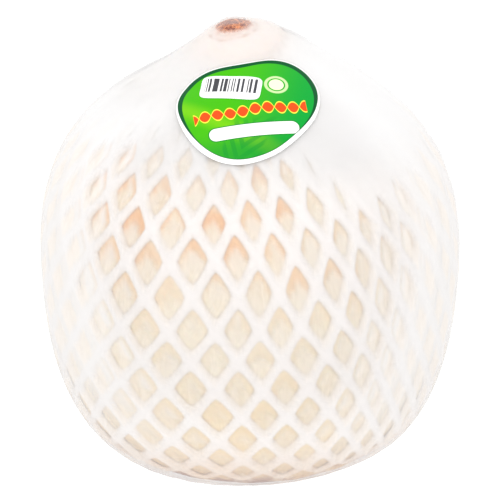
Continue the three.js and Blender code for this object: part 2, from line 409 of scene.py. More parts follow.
fine = husk.relief(fibres, 0.5, 0.5)
coarse = husk.relief(grain, 0.9, 0.35, below=fine)
husk.set(Base_Color=body, Roughness=0.62, Normal=coarse, Subsurface_Weight=0.12)
husk.set(Subsurface_Radius=(0.0020, 0.0012, 0.0006), Subsurface_Scale=1.0)
husk.on(coconut)

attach(coconut, "root")
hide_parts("coconut")

# ------------------------------------------------------------------------------------------------
# The foam net: a sleeve of expanded foam, two sets of soft strands fused where they cross. It is
# stretched over the nut a little askew; at the top its strands crowd into a closed collar, and
# both ends are cut across the cells and thinned by the film that presses on them.

CELLS_AROUND = 28
FIRST_ROW = -5
LAST_ROW = 8
STRAND_WIDTH = 3.4
NARROWEST_CELL = 0.2  # share of a cell that its strands always leave
FOAM_THICKNESS = 1.25
FOAM_SEAT = -0.05  # the foam is pressed this far into the husk
NET_TILT = math.radians(9.43)  # the net was pulled on askew
NET_SWAY = 0.006
NET_START = math.radians(-11.45)  # azimuth of the lattice's first column
ROW_TWIST = math.radians(-0.6)  # how far each further row is turned round the nut
SIDE_PULL = 11.06  # degrees by which the cells are pulled round towards one side
SIDE_TURN = -200.34  # and the turn of that wave, in degrees, as for each wave below
CROSS_PULL = 4.49  # the same towards two opposite sides
CROSS_TURN = 67.54
ROW_SKEW = 1.27  # the same towards one side, for each row past the straight one
SKEW_TURN = -20.03
STRAIGHT_ROW = 3.0
MIDDLE_PLACE = 80.717  # row 0 lies this far from the net's pole, along the net
ROW_SPACING = 10.8176
ROW_SPREAD = 0.0153  # the rows lie a little further apart towards the base
ROW_CROWDING = 0.0202  # and closer together the further they are from the middle
CROSS_SAG = 1.787  # each row hangs lower on two opposite sides
CROSS_SAG_TURN = 21.99
SIDE_SAG = 1.188  # and on one side, for each row past the level one
SIDE_SAG_TURN = -12.98
LEVEL_ROW = 1.0
LATTICE_SPAN = 38
FREE_PLACES = (34.0, 160.0)  # distances from the net's pole between which its rows lie freely
TOP_GIVE = 12.0  # rows that would pass those places are crowded into this much more
BASE_GIVE = 6.0
LEAST_OPENING = 0.1  # cells that open less than this stay shut
WELD = 0.002  # points closer than this are one
SEED = 7.0

net_tree = bpy.data.node_groups.new("foam_net", "GeometryNodeTree")
net_tree.interface.new_socket("Geometry", in_out="OUTPUT", socket_type="NodeSocketGeometry")
net_inputs = {}
for label, kind, start in (
    ("Cells around", "NodeSocketInt", CELLS_AROUND),
    ("First row", "NodeSocketInt", FIRST_ROW),
    ("Last row", "NodeSocketInt", LAST_ROW),
    ("Strand width", "NodeSocketFloat", STRAND_WIDTH),
    ("Foam thickness", "NodeSocketFloat", FOAM_THICKNESS),
    ("Tilt", "NodeSocketFloat", NET_TILT),
    ("Seed", "NodeSocketFloat", SEED),
):
    socket = net_tree.interface.new_socket(label, in_out="INPUT", socket_type=kind)
    net_inputs[label] = (socket.identifier, start)
net_in = net_tree.nodes.new("NodeGroupInput")
net_out = net_tree.nodes.new("NodeGroupOutput")


def net_node(kind, settings=None, **inputs):
    """One node of the net's tree."""
    node = net_tree.nodes.new(kind)
    for key, value in (settings or {}).items():
        setattr(node, key, value)
    for name, term in inputs.items():
        give(net_tree, term, node.inputs[name.replace("_", " ")])
    return node


def net_input(label):
    return Amount(net_tree, net_in.outputs[label])


def here():
    """The three coordinates of the point or face that is worked on."""
    split = net_node("ShaderNodeSeparateXYZ")
    position = net_node("GeometryNodeInputPosition")
    net_tree.links.new(position.outputs[0], split.inputs[0])
    return [Amount(net_tree, socket) for socket in split.outputs]


def moved_to(geometry, x, y, z):
    joined = net_node("ShaderNodeCombineXYZ", X=x, Y=y, Z=z)
    node = net_node("GeometryNodeSetPosition", Geometry=geometry, Position=joined.outputs[0])
    return node.outputs[0]


def noted(geometry, name, domain, value):
    """Stores a number on the mesh under a name."""
    settings = {"data_type": "FLOAT", "domain": domain}
    node = net_node("GeometryNodeStoreNamedAttribute", settings, Geometry=geometry, Name=name)
    give(net_tree, value, node.inputs["Value"])
    return node.outputs[0]


def recalled(name):
    node = net_node("GeometryNodeInputNamedAttribute", {"data_type": "FLOAT"}, Name=name)
    return Amount(net_tree, node.outputs["Attribute"])


def read_off(amount, at, value):
    """A curve through the given points, read at `amount`."""
    low, high = float(at[0]), float(at[-1])
    least, most = float(np.min(value)), float(np.max(value))
    node = net_node("ShaderNodeFloatCurve")
    give(net_tree, (amount - low) / (high - low), node.inputs["Value"])
    curve = node.mapping.curves[0]
    steps = np.linspace(0, 1, 49)
    levels = np.interp(low + steps * (high - low), at, value)
    for step, level in zip(steps, (levels - least) / (most - least)):
        if step in (0.0, 1.0):
            curve.points[0 if step == 0 else -1].location = (step, level)
        else:
            curve.points.new(step, level)
    node.mapping.update()
    return Amount(net_tree, node.outputs[0]) * (most - least) + least


def sine(value, degrees=0.0):
    """The sine of an angle in radians plus one in degrees, for nodes and for plain numbers."""
    turned = value + math.radians(degrees)
    return turned.sin() if isinstance(turned, Amount) else np.sin(turned)


def smoothstep(value, start, end):
    if isinstance(value, Amount):
        return value.step(start, end)
    t = np.clip((value - start) / (end - start), 0, 1)
    return t * t * (3 - 2 * t)


def even_azimuth(column, row, cells):
    """Where a lattice point would lie if the net were stretched evenly round the nut."""
    return column * (math.pi / cells) + row * ROW_TWIST + NET_START


def net_azimuth(even, row):
    """Where it does lie: the cells are stretched wider on some sides than on others."""
    pull = sine(even, SIDE_TURN) * SIDE_PULL + sine(even * 2.0, CROSS_TURN) * CROSS_PULL
    skew = sine(even, SKEW_TURN) * (row - STRAIGHT_ROW) * ROW_SKEW
    return even + (pull + skew) * math.radians(1.0)


def net_pitch(even, row):
    """How much wider than the even stretch the cells are here: the slope of net_azimuth."""
    side = sine(even, SIDE_TURN + 90.0) * SIDE_PULL
    cross = sine(even * 2.0, CROSS_TURN + 90.0) * (CROSS_PULL * 2)
    skew = sine(even, SKEW_TURN + 90.0) * (row - STRAIGHT_ROW) * ROW_SKEW
    return (side + cross + skew) * math.radians(1.0) + 1.0


def net_place(even, row):
    """How far from the net's pole, along the net, a lattice point lies."""
    rows = row * ROW_SPACING + row * row * ROW_SPREAD - row * row * row * ROW_CROWDING
    cross = sine(even * 2.0, CROSS_SAG_TURN) * CROSS_SAG
    side = sine(even, SIDE_SAG_TURN) * (row - LEVEL_ROW) * SIDE_SAG
    return rows + MIDDLE_PLACE + cross + side


def net_opening(even, row):
    """How wide a cell stands open: 1 where the net is drawn flat, 0 where its strands crowd."""
    to_right = smoothstep(sine(even, 15.0), 0.35, 0.9)
    return smoothstep(row - to_right * 3.2 + 4.2, -0.3, 1.5)


def hem_thinning(row):
    """How much of its thickness the foam keeps; the film presses both hems thin."""
    thin_top = smoothstep(row, -5.6, -3.2) * 0.94 + 0.06
    return thin_top * (smoothstep(row, 8.0, 9.2) * -0.6 + 1.0)


def net_sway(east, south, north, seed):
    """Small uneven drifts of the net over the nut, as shifts of the unit direction."""
    first = sine(east * 9.0 + south * 4.0 + seed) + sine(north * 8.0 - east * 5.0 + seed * 1.7)
    second = sine(south * 9.0 - north * 5.0 + seed * 2.1) + sine(east * 7.0 + north * 6.0 + seed)
    third = sine(north * 10.0 + south * 5.0 + seed * 1.3) + sine(south * 7.0 - east * 8.0 + seed)
    return first * NET_SWAY, second * NET_SWAY, third * NET_SWAY


def kept_on(place):
    """Crowds the rows that would run onto the nub or under the base, so that they end short."""
    if isinstance(place, Amount):
        near = ((place - FREE_PLACES[0]).least(0.0) / TOP_GIVE).math("EXPONENT")
        far = ((FREE_PLACES[1] - place).least(0.0) / BASE_GIVE).math("EXPONENT")
        middle = place.most(FREE_PLACES[0]).least(FREE_PLACES[1])
    else:
        near = np.exp(np.minimum(place - FREE_PLACES[0], 0) / TOP_GIVE)
        far = np.exp(np.minimum(FREE_PLACES[1] - place, 0) / BASE_GIVE)
        middle = np.clip(place, *FREE_PLACES)
    return middle + (near - 1.0) * TOP_GIVE + (far - 1.0) * -BASE_GIVE


middle_points = OUTLINE + OUTLINE_NORMAL * (FOAM_SEAT + FOAM_THICKNESS / 2)
middle_steps = np.linalg.norm(np.diff(middle_points, axis=0), axis=1)
middle_distance = np.append(0, np.cumsum(middle_steps))
middle_angle = np.arctan2(middle_points[:, 0], middle_points[:, 1] - WIDEST_HEIGHT)
middle_reach = np.hypot(middle_points[:, 0], middle_points[:, 1] - WIDEST_HEIGHT)

# A square grid, turned to stand on its corners, is the flat lattice: each face is a cell, and the
# edges are the strands' middles. Each cell is narrowed by half a strand on each side, and opened.
grid = net_node(
    "GeometryNodeMeshGrid",
    Size_X=float(LATTICE_SPAN),
    Size_Y=float(LATTICE_SPAN),
    Vertices_X=LATTICE_SPAN + 1,
    Vertices_Y=LATTICE_SPAN + 1,
).outputs["Mesh"]
x, y, _ = here()
lattice = moved_to(grid, x - y + net_input("Cells around"), x + y + 1.0, 0.0)

column, row, _ = here()
outside = (
    (column * -1.0 - 0.5)
    .most(column - net_input("Cells around") * 2.0 + 0.5)
    .most(net_input("First row") - 0.5 - row)
    .most(row - net_input("Last row") - 0.5)
    .over(0.0)
)
lattice = net_node(
    "GeometryNodeDeleteGeometry", {"domain": "FACE"}, Geometry=lattice, Selection=outside
).outputs[0]

column, row, _ = here()
even = even_azimuth(column, row, net_input("Cells around"))
girth = read_off(kept_on(net_place(even, row)), middle_distance, middle_points[:, 0])
half_width = girth * net_pitch(even, row) * (math.pi / net_input("Cells around"))
half_height = kept_on(net_place(even, row + 0.5)) - kept_on(net_place(even, row - 0.5))
half_gap = half_width * half_height / (half_width**2.0 + half_height**2.0).root()
cell_noise = net_node("ShaderNodeTexNoise", {"noise_dimensions": "3D"}, Scale=0.9, Detail=0.0)
varied = Amount(net_tree, cell_noise.outputs[0]) * 0.5 + 0.75
share = (1.0 - net_input("Strand width") * varied * 0.5 / half_gap).most(NARROWEST_CELL)
opening = net_opening(even, row)
lattice = noted(lattice, "opening", "FACE", opening)
lattice = noted(lattice, "share", "FACE", share * (opening * 0.35 + 0.65))

extruded = net_node(
    "GeometryNodeExtrudeMesh", {"mode": "FACES"}, Mesh=lattice, Offset_Scale=0.0, Individual=True
)
top = extruded.outputs["Top"]
inset = net_node(
    "GeometryNodeScaleElements",
    {"domain": "FACE"},
    Geometry=extruded.outputs["Mesh"],
    Selection=top,
    Scale=recalled("share"),
).outputs[0]
across = net_node("ShaderNodeCombineXYZ", X=1.0, Y=0.0, Z=0.0)
narrowed = net_node(
    "GeometryNodeScaleElements",
    {"domain": "FACE", "scale_mode": "SINGLE_AXIS"},
    Geometry=inset,
    Selection=top,
    Scale=recalled("opening").most(LEAST_OPENING / 2),
    Axis=across.outputs[0],
).outputs[0]
is_open = recalled("opening").over(LEAST_OPENING)
narrowed = noted(narrowed, "rim", "POINT", Amount(net_tree, top) * (is_open * 0.65 + 0.35))
strands = net_node(
    "GeometryNodeDeleteGeometry",
    {"domain": "FACE"},
    Geometry=narrowed,
    Selection=Amount(net_tree, top) * is_open,
).outputs[0]

# The flat strands are wrapped on a drum, where the two ends of the lattice meet and are joined,
# and cut finer; a raised copy and a turned-over one, joined at their rims, make the solid foam.
drum = net_input("Cells around") / math.pi
column, row, _ = here()
angle = column / drum
strands = moved_to(strands, angle.sin() * drum, sine(angle, 90.0) * drum * -1.0, row)
strands = net_node("GeometryNodeMergeByDistance", Geometry=strands, Distance=WELD).outputs[0]
strands = net_node("GeometryNodeSubdivideMesh", Mesh=strands, Level=2).outputs[0]
x, y, _ = here()
outward = net_node("ShaderNodeCombineXYZ", X=x / drum, Y=y / drum, Z=0.0)
raised = net_node(
    "GeometryNodeExtrudeMesh",
    {"mode": "FACES"},
    Mesh=strands,
    Offset=outward.outputs[0],
    Offset_Scale=1.0,
    Individual=False,
).outputs["Mesh"]
underside = net_node("GeometryNodeFlipFaces", Mesh=strands).outputs[0]
foam = net_node("GeometryNodeJoinGeometry")
net_tree.links.new(raised, foam.inputs[0])
net_tree.links.new(underside, foam.inputs[0])
foam = net_node("GeometryNodeMergeByDistance", Geometry=foam.outputs[0], Distance=WELD)
foam = foam.outputs[0]

# The drum is laid over the nut, tilted and swaying a little, and each point is set on the husk.
x, y, row = here()
column = x.math("ARCTAN2", y * -1.0) * drum
outer = ((x * x + y * y).root() - drum).over(0.5)
even = even_azimuth(column, row, net_input("Cells around"))
azimuth = net_azimuth(even, row)
angle = read_off(kept_on(net_place(even, row)), middle_distance, middle_angle)
east = angle.sin() * azimuth.sin()
south = angle.sin() * sine(azimuth, 90.0) * -1.0
north = sine(angle, 90.0)
slant, upright = net_input("Tilt").sin(), sine(net_input("Tilt"), 90.0)
east, north = east * upright - north * slant, east * slant + north * upright
sway = net_sway(east, south, north, net_input("Seed"))
east, south, north = east + sway[0], south + sway[1], north + sway[2]
length = (east * east + south * south + north * north).root()
reach = read_off((north / length).math("ARCCOSINE"), middle_angle, middle_reach)

# Strands are rounded towards the cells, thicker where they cross, and those that fall to the right
# lie over those that rise.
falling = (column - net_input("Cells around") + row - 1.0) / 2.0
rising = (row - 1.0 - column + net_input("Cells around")) / 2.0
off_rising = (falling - falling.math("ROUND")).abs() * 2.0
off_falling = (rising - rising.math("ROUND")).abs() * 2.0
crossing = (1.0 - off_rising) * (1.0 - off_falling)
thinned = hem_thinning(row)
swell = (crossing * 0.25 + (off_rising - off_falling) * 0.15) * thinned
rim = recalled("rim")
rounding = 1.0 - (1.0 - rim * rim).most(0.0).root()
top_height = (net_input("Foam thickness") * thinned + swell) * (1.0 - rounding * 0.68)
standing = outer * top_height
reach = (reach - net_input("Foam thickness") * 0.5 + standing) / length
x, y, z = east * reach, south * reach, north * reach + WIDEST_HEIGHT
rise = ((z - WIDEST_HEIGHT) / (LEAN_TOP - WIDEST_HEIGHT)).most(0.0)
x = x - rise * rise * NUB_LEAN
foam = noted(foam, "thinness", "POINT", row.step(-4.2, -5.8, 0.0, 0.9))
fitted = moved_to(foam, x * MM, y * MM, z * MM)

position = net_node("GeometryNodeInputPosition")
softened = net_node(
    "GeometryNodeBlurAttribute",
    {"data_type": "FLOAT_VECTOR"},
    Value=position.outputs[0],
    Iterations=1,
    Weight=0.7,
)
fitted = net_node(
    "GeometryNodeSetPosition", Geometry=fitted, Position=softened.outputs[0]
).outputs[0]
fitted = net_node("GeometryNodeFlipFaces", Mesh=fitted).outputs[0]
smooth = net_node("GeometryNodeSetShadeSmooth", Geometry=fitted, Shade_Smooth=True).outputs[0]

# White foam with fine bubbles. Its thin collar takes the husk's colour, and towards the base, most
# of all at the low front, it is painted darker and warmer as painted shade.
foam_finish = Finish("expanded_foam")
spot = foam_finish.place()
bubbles = foam_finish.cells(spot, 0.85)
lumps = foam_finish.noise(spot, 4.5, detail=3.0)
skin = foam_finish.relief(bubbles, 0.10, 0.15)
skin = foam_finish.relief(lumps, 0.9, 0.20, below=skin)
tone = foam_finish.blend(lumps.step(0.35, 0.70), (0.975, 0.935, 0.915), (0.985, 0.955, 0.940))
x, y, z = foam_finish.parts(spot)
husk_tone = foam_finish.blend(z.step(BLUSH_FROM, BLUSH_TO), COLLAR_CREAM, NUB_BLUSH)
tone = foam_finish.blend(foam_finish.stored("thinness"), tone, husk_tone)
# Painted shade: darker and warmer towards the base.
low_shade = z.step(0.024, 0.005, 0.0, 0.9)
tone = foam_finish.blend(low_shade, tone, (0.890, 0.740, 0.620))
# More painted shade at the low front.
front_low_shade = z.step(0.032, 0.010) * x.abs().step(0.038, 0.012) * y.step(0.0, -0.020)
tone = foam_finish.blend(front_low_shade * 0.8, tone, (0.860, 0.660, 0.500))
foam_finish.set(Base_Color=tone, Roughness=0.50, Normal=skin)

realised = net_node("GeometryNodeRealizeInstances", Geometry=smooth).outputs[0]
finished = net_node(
    "GeometryNodeSetMaterial", Geometry=realised, Material=foam_finish.material
).outputs[0]
net_tree.links.new(finished, net_out.inputs[0])

net = mesh_object("net_maker", [(0, 0, 0)], [])
maker = net.modifiers.new("net", "NODES")
maker.node_group = net_tree
for identifier, start in net_inputs.values():
    maker[identifier] = start
foam_mesh = bpy.data.meshes.new_from_object(
    net.evaluated_get(bpy.context.evaluated_depsgraph_get())
)
foam_mesh.set_sharp_from_angle(angle=math.radians(40.0))
net.modifiers.clear()
net.data = foam_mesh
net.name = "foam_net_sleeve"

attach(net, "root")
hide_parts("foam_net")

# ------------------------------------------------------------------------------------------------
# The film: one sheet of clear stretch film, pulled tight over the tip and the net and gathered
# under the base. It dips into the net's cells, clings to the husk along their upper sides and
# looks milky below, where it stands off and where a painted glare stands in for the light on each
# cell's lower side, and it is creased where it was pulled.

NET_LIFT = 1.5  # the net holds the film this much further off the husk
FILM_CLEARANCE = 0.5
FILM_DIP = 0.5
FILM_AROUND = 320
FILM_RINGS = 284
FILM_CROWDING = 1.05
FILM_MOUTH = 1.5  # the last ring's distance from the base's middle
BASE_EDGE = OUTLINE_LENGTH - BASE_RADIUS  # distance from the tip to the cut's rim
GATHER_START = 140.0  # and to where the film begins to be gathered in
FOLDS_AROUND = 44
FOLD_DEPTH = 0.13
PULL_DEPTH = 0.12


def lattice_of(points):
    """The net's column and row, and the place along it, behind points in millimetres."""
    x, y, z = np.moveaxis(np.asarray(points, float), -1, 0)
    rise = np.clip((z - WIDEST_HEIGHT) / (LEAN_TOP - WIDEST_HEIGHT), 0, None)
    x = x + NUB_LEAN * rise**2
    direction = np.stack([x, y, z - WIDEST_HEIGHT])
    direction = direction / np.linalg.norm(direction, axis=0)
    direction = direction - np.stack(net_sway(*direction, SEED))
    east, south, north = direction / np.linalg.norm(direction, axis=0)
    east, north = (
        east * math.cos(NET_TILT) + north * math.sin(NET_TILT),
        north * math.cos(NET_TILT) - east * math.sin(NET_TILT),
    )
    place = np.interp(np.arccos(np.clip(north, -1, 1)), middle_angle, middle_distance)
    azimuth = np.arctan2(east, -south)
    near = np.clip((FREE_PLACES[0] - place) / TOP_GIVE, 0, 0.995)
    far = np.clip((place - FREE_PLACES[1]) / BASE_GIVE, 0, 0.995)
    free = np.clip(place, *FREE_PLACES) + TOP_GIVE * np.log(1 - near) - BASE_GIVE * np.log(1 - far)
    middle, spacing, easing = 80.0, 10.5, 0.8
    even, row = azimuth.copy(), (free - middle) / spacing
    for _ in range(30):
        missed = azimuth - net_azimuth(even, row)
        even += easing * np.arctan2(np.sin(missed), np.cos(missed))
        row = np.clip(row + easing * (free - net_place(even, row)) / spacing, -9, 12)
    column = (even - even_azimuth(0.0, row, CELLS_AROUND)) * CELLS_AROUND / math.pi
    return column, row, even, place


def net_cover(points, early=0.0):
    """How fully the net lifts a sheet off the husk, from 0 past its ends to 1."""
    _, row, even, place = lattice_of(points)
    low_hem = kept_on(net_place(even, LAST_ROW + 1.0))
    upper = smoothstep(row, -6.6 - early, -3.4 - early)
    return upper * (1 - smoothstep(place, low_hem - 0.3, low_hem + 4.2))


def cell_place(points):
    """How far points lie from their cell's middle and towards its lower sides, and its opening."""
    column, row, even, _ = lattice_of(points)
    falling = (column - CELLS_AROUND + row - 1) / 2
    rising = (row - 1 - column + CELLS_AROUND) / 2
    fall, climb = falling - np.floor(falling) - 0.5, rising - np.floor(rising) - 0.5
    in_net = smoothstep(row, -5.5, -4.5) * (1 - smoothstep(row, 8.2, 8.8))
    open_here = net_opening(even, row - (fall + climb)) * in_net
    return np.maximum(abs(fall), abs(climb)), np.minimum(fall, climb), open_here


share = np.linspace(0, 1, FILM_RINGS + 1)[1:, None] ** FILM_CROWDING
distance = (OUTLINE_LENGTH - FILM_MOUTH) * share
azimuth = np.linspace(0, 2 * np.pi, FILM_AROUND, endpoint=False)[None, :]
distance, azimuth = np.broadcast_arrays(distance, azimuth)
bare = on_husk(distance, azimuth, 0) / MM
cover = net_cover(bare)
off_middle, low_side, open_here = cell_place(on_husk(distance, azimuth, 2.0) / MM)
into_cell = (1 - smoothstep(off_middle, 0.05, 0.40)) * open_here
from_scar = np.hypot(bare[..., 0] - SCAR[0], bare[..., 1] - SCAR[1])
over_knob = 1 - smoothstep(from_scar, SCAR_RADIUS * 0.5, SCAR_RADIUS * 1.45)
over_knob = over_knob * (distance < TOP_REACH)
under = smoothstep(distance, BASE_EDGE - 4, BASE_EDGE + 4)
gathered = smoothstep(distance, GATHER_START, BASE_EDGE + 2)
fold = np.sin(azimuth * FOLDS_AROUND + 1.5 * np.sin(azimuth * 5) + 0.7 * np.sin(azimuth * 11))
pulls = rough(bare * np.array((1, 1, 0.35)), 9.0, 3.0)
lift = FILM_CLEARANCE - 0.15 * under + NET_LIFT * cover - FILM_DIP * into_cell
lift = lift + PULL_DEPTH * pulls * cover + FOLD_DEPTH * gathered * fold + SCAR_HEIGHT * over_knob
film_rings = on_husk(distance, azimuth, lift)
tip = on_husk(0.0, 0.0, FILM_CLEARANCE + 0.3)
bottom = leant(0.0, 0.0, HUSK_FLOOR - FILM_CLEARANCE + 0.2)
film = mesh_object(
    "stretch_film",
    np.vstack([film_rings.reshape(-1, 3), [tip, bottom]]),
    ring_faces(FILM_RINGS, FILM_AROUND),
)


def veil_drift(points):
    """How much higher or lower in its cell the milky veil with its painted glare begins, in cells.
    """
    return 0.10 * rough(points, 6.0, 5.0) + 0.22 * rough(points, 17.0, 8.0)


# Painted glare: the lower part of each open cell is made milkier, standing in for the lit lower
# side of the cell.
veil_and_glare = smoothstep(low_side + veil_drift(bare), -0.26, -0.12)
veil_and_glare = veil_and_glare * (1 - smoothstep(off_middle, 0.34, 0.46)) * open_here
# Painted light: the film over the collar is made whiter and more opaque, for its several layers
# and standing in for the light on the up-facing collar.
layered_and_lit = smoothstep(distance, 12, 26) * (1 - smoothstep(distance, 52, 70))
on_scar = (1 - smoothstep(from_scar, 4.6, 5.6)) * (distance < TOP_REACH)
stores = {
    "standing": cover,
    "veil_and_glare": veil_and_glare,
    "gathered": gathered,
    "layered_and_lit": layered_and_lit,
    "on_scar": on_scar,
}
for name, values in stores.items():
    stored = film.data.attributes.new(name, "FLOAT", "POINT")
    stored.data.foreach_set("value", np.append(values, (values[0, 0], values[-1, 0])))

# Along each cell's upper sides, where the film clings, the husk is given a deeper colour: partly
# the husk's juice kept under the film, partly painted shade under the strand above.
husk_points = np.array([vertex.co for vertex in coconut.data.vertices]) / MM
_, low_side, open_here = cell_place(husk_points)
shaded_and_clung = (1 - smoothstep(low_side + veil_drift(husk_points), -0.24, -0.10)) * open_here
coconut.data.attributes.new("shaded_and_clung", "FLOAT", "POINT").data.foreach_set("value", shaded_and_clung)

CLEAREST = 0.645  # how much shows through a single smooth layer
GATHERED_CLEAREST = CLEAREST - 0.05
SCAR_CLEAREST = CLEAREST + 0.305

clear = Finish("clear_film")
spot = clear.place()
creases = clear.noise(clear.place((1.0, 1.0, 0.3)), 5.0, detail=3.0, distortion=1.2)
ripples = clear.noise(spot, 22.0, detail=2.0)
wrinkled = clear.relief(creases, 0.10, 0.15)
wrinkled = clear.relief(ripples, 0.5, 0.25, below=wrinkled)
# Whiter over the collar: its layers, and painted light.
film_colour = clear.blend(clear.stored("layered_and_lit"), (0.688, 0.675, 0.669), (0.695, 0.690, 0.690))
# Warmer milk in the veil, with its painted glare.
film_colour = clear.blend(clear.stored("veil_and_glare"), film_colour, (0.710, 0.668, 0.625))
# Painted shade: the gathered film low on the body is a darker, warmer milk.
film_colour = clear.blend(clear.stored("gathered"), film_colour, (0.610, 0.560, 0.525))
clear.set(Base_Color=film_colour, Roughness=0.26, Normal=wrinkled, Specular_IOR_Level=0.04)

# The film hides more where it is seen edge on, in the veil with its painted glare, where it is
# folded, and over the collar, where it lies in several layers and is also painted lighter,
# standing in for the light on the up-facing collar.
facing = clear.node("ShaderNodeLayerWeight", Blend=0.5)
edge_on = Amount(clear.tree, facing.outputs["Facing"])
standing = clear.stored("standing")
_, _, z = clear.parts(spot)
limb = edge_on.step(0.20, 0.50) * (standing * 0.60 + 0.25) * z.step(0.006, 0.050, 0.05, 1.0)
veiled_with_glare = clear.stored("veil_and_glare") * (ripples * 0.5 + creases * 0.5).step(0.36, 0.58, 0.08, 0.38)
folded = clear.stored("gathered") * creases.step(0.40, 0.70, 0.00, 0.15)
layers_and_light = clear.stored("layered_and_lit") * ripples.step(0.30, 0.60, 0.20, 0.40)
clearest = clear.stored("on_scar") * (SCAR_CLEAREST - CLEAREST) + CLEAREST
clearest = clearest + clear.stored("gathered") * (GATHERED_CLEAREST - CLEAREST)
seen = 1.0 - clearest * (1.0 - limb) * (1.0 - veiled_with_glare) * (1.0 - folded) * (1.0 - layers_and_light)
clear.set(Alpha=seen)
clear.on(film)

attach(film, "root")
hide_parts("film_wrap")

# ------------------------------------------------------------------------------------------------
# The label: glossy printed paper, die-cut to a soft rounded shape with a white margin and stuck on
# the film over the cone, where it bends one way only. The print is a plain fruit-stall design.

LABEL_PLACE = (0.5, -36.1)  # its middle, on the cone rolled out flat about the tip
LABEL_TURN = math.radians(8.5)
LABEL_REACH = (17.5, 19.25)  # half its size, before its shoulders
LABEL_POWER = 2.3
LABEL_SHOULDERS = ((0.046, -0.336), (0.118, 1.078), (0.070, 0.332))  # each swell's height, turn
LABEL_LIFT = 0.95
LABEL_RINGS = 30
PAPER_GAUGE = 0.12
PAPER_AROUND = 128
PRINT_EDGE = 0.06  # half the softness of a printed edge
PILL_MIDDLE = (0.3, -7.7)
BEAD_PITCH = 3.4
LEAF_FOOT = (-3.0, -11.5)
SUN = (8.6, 7.4)


def label_edge(around):
    """How far the label's edge is from its middle: a rounded box with soft shoulders."""
    across, up = abs(np.cos(around)) / LABEL_REACH[0], abs(np.sin(around)) / LABEL_REACH[1]
    box = (across**LABEL_POWER + up**LABEL_POWER) ** (-1 / LABEL_POWER)
    swell = 1.0
    for times, (height, turn) in enumerate(LABEL_SHOULDERS, 1):
        swell = swell + height * np.sin(times * around + turn)
    return box * swell


def stuck_sheet(name, edge, turn, place, lift, rings):
    """A flat die-cut sheet laid on the cone; its UV map holds millimetres on the paper."""
    share = np.linspace(0, 1, rings + 1)[1:, None]
    around = np.linspace(0, 2 * np.pi, PAPER_AROUND, endpoint=False)[None, :]
    flat_x = np.append(0, share * edge(around) * np.cos(around))
    flat_y = np.append(0, share * edge(around) * np.sin(around))
    paper_x = flat_x * math.cos(turn) - flat_y * math.sin(turn) + place[0]
    paper_y = flat_x * math.sin(turn) + flat_y * math.cos(turn) + place[1]
    distance = np.hypot(paper_x, paper_y)
    slope = np.interp(-LABEL_PLACE[1], OUTLINE_DISTANCE, OUTLINE_NORMAL[:, 1])
    azimuth = np.arctan2(paper_x, -paper_y) / slope
    cover = net_cover(on_husk(distance, azimuth, 0) / MM, early=0.4)
    vertices = on_husk(distance, azimuth, lift + NET_LIFT * cover)
    step = np.arange(PAPER_AROUND)
    after = (step + 1) % PAPER_AROUND
    faces = [[0, int(1 + a), int(1 + b)] for a, b in zip(step, after)]
    for ring in range(rings - 1):
        inner, outer = 1 + ring * PAPER_AROUND, 1 + (ring + 1) * PAPER_AROUND
        quads = np.stack([inner + step, outer + step, outer + after, inner + after], 1)
        faces.extend(quads.tolist())
    sheet = mesh_object(name, vertices, faces)
    paper = sheet.data.uv_layers.new(name="paper")
    corner = np.empty(len(sheet.data.loops), int)
    sheet.data.loops.foreach_get("vertex_index", corner)
    paper.data.foreach_set("uv", np.stack([flat_x, flat_y], 1)[corner].ravel())
    rim = sheet.data.attributes.new("rim", "FLOAT", "POINT")
    rim.data.foreach_set("value", np.append(0, np.broadcast_to(share, (rings, PAPER_AROUND))))
    gauge = sheet.modifiers.new("gauge", "SOLIDIFY")
    gauge.thickness = PAPER_GAUGE * MM
    gauge.offset = 1.0
    return sheet


label = stuck_sheet(
    "printed_label", label_edge, LABEL_TURN, LABEL_PLACE, LABEL_LIFT, LABEL_RINGS
)

print_finish = Finish("glossy_print")
paper = print_finish.node("ShaderNodeUVMap")
paper.uv_map = "paper"
u, v, _ = print_finish.parts(paper.outputs["UV"])
rim = print_finish.stored("rim")


def inside_pill(u, v, middle, size, corner):
    """1 inside a rounded box on the paper and 0 outside it."""
    past_u = ((u - middle[0]).abs() - (size[0] / 2 - corner)).most(0.0)
    past_v = ((v - middle[1]).abs() - (size[1] / 2 - corner)).most(0.0)
    past = (past_u * past_u + past_v * past_v).root()
    return past.step(corner + PRINT_EDGE, corner - PRINT_EDGE)


# A green ground, lighter in a band across the middle, with a palm leaf's shadow low on it.
side = (u * 0.9 - v * 0.35).step(-6.0, 15.0)
ground = print_finish.blend(side, (0.050, 0.420, 0.001), (0.001, 0.315, 0.033))
glow = (u + v * 1.2 + 13.0).abs().step(7.0, 0.0, 0.0, 0.6)
ground = print_finish.blend(glow, ground, (0.220, 0.560, 0.006))
leaf_u, leaf_v = u - LEAF_FOOT[0], v - LEAF_FOOT[1]
leaf_side = leaf_u * 0.5 + leaf_v * 0.9
leaf_rib = (leaf_u * 0.9 - leaf_v * 0.5).abs()
leaflets = (leaf_rib * 2.1 - leaf_side * 1.3).sin().step(-0.3, 0.3)
leaf = leaflets * (leaf_rib - 5.2).step(0.6, -0.6) * v.step(-3.0, -6.0)
ground = print_finish.blend(leaf * 0.55, ground, (0.002, 0.230, 0.020))
low = v.step(-6.0, -15.0, 0.0, 0.7)
ground = print_finish.blend(low, ground, (0.003, 0.260, 0.020))

